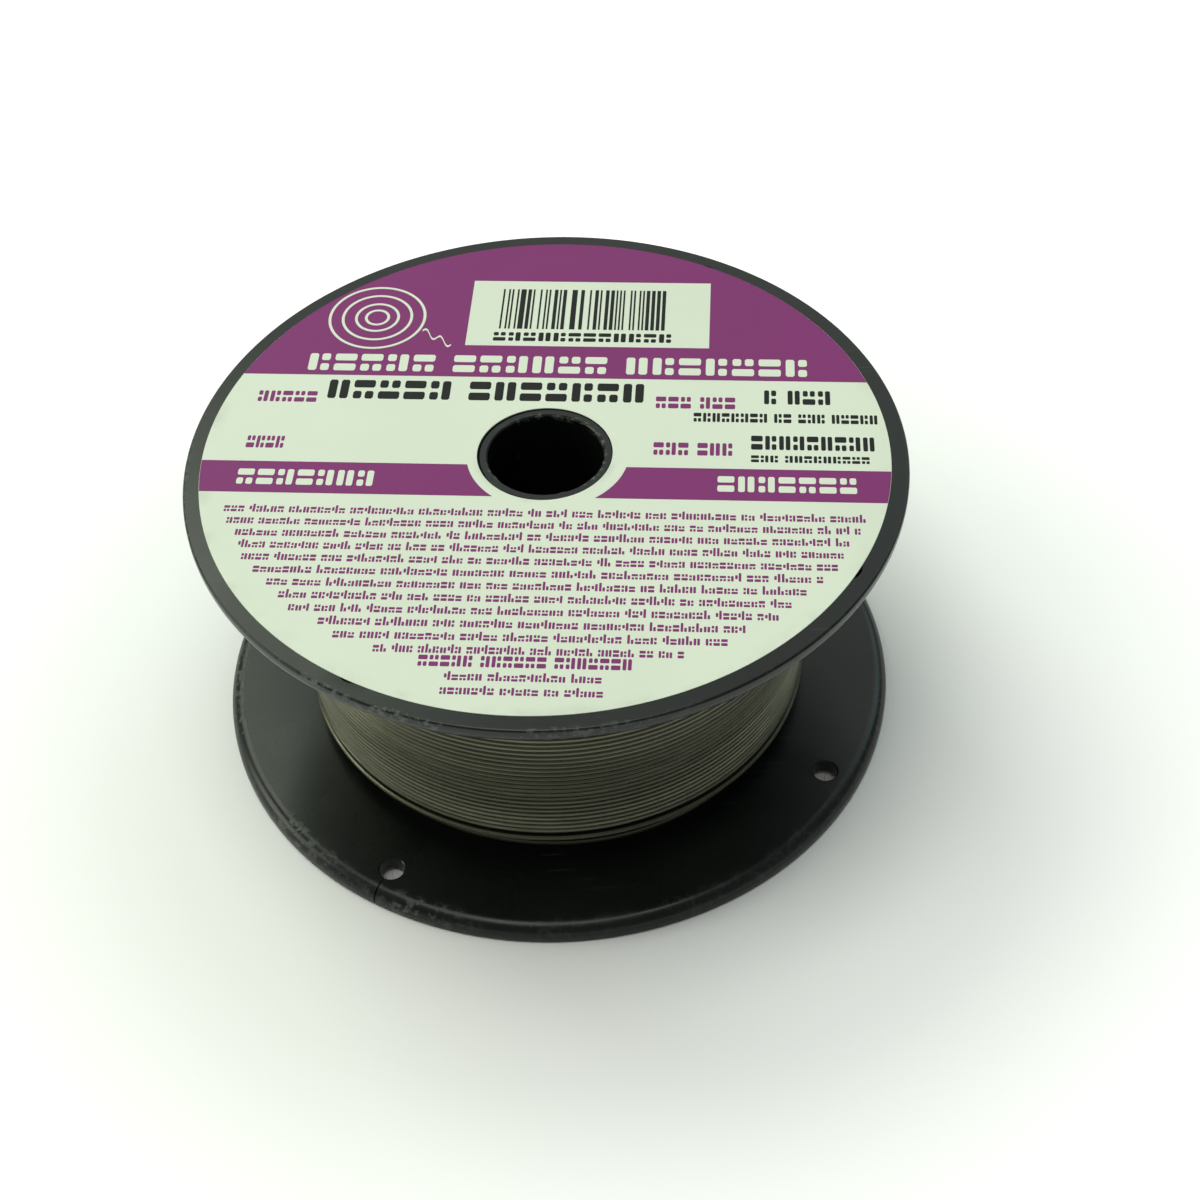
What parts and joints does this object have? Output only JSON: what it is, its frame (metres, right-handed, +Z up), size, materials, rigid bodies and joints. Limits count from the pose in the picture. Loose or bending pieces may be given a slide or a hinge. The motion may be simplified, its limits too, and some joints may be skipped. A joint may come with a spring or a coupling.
{
  "type": "welding wire spool",
  "caption": "Flanged plastic wire spool lying on one flange, wound full with fine bare metal wire, with a round paper label round its bore.",
  "frame": {"origin": "on the bore's axis, in the plane of the lower flange's outer face, which the spool lies on", "axes": "+Z up along the bore towards the labelled flange; +X to the right and +Y away from the side that the label faces"},
  "size_m": [0.1016, 0.1016, 0.0461],
  "materials": {
    "black_plastic": "semi-gloss moulded",
    "bare_wire": "drawn, dull",
    "label_paper": "coated matt paper"
  },
  "bodies": {
    "root": {"lower_flange": "black_plastic", "upper_flange": "black_plastic", "bore_sleeve": "black_plastic", "barrel": "black_plastic", "wire_start": "bare_wire", "wire_inner_layers": "bare_wire", "wire_outer_layer": "bare_wire", "wire_spaced_turn": "bare_wire", "wire_last_turn": "bare_wire", "wire_end": "bare_wire", "label": "label_paper"}
  },
  "joints": []
}
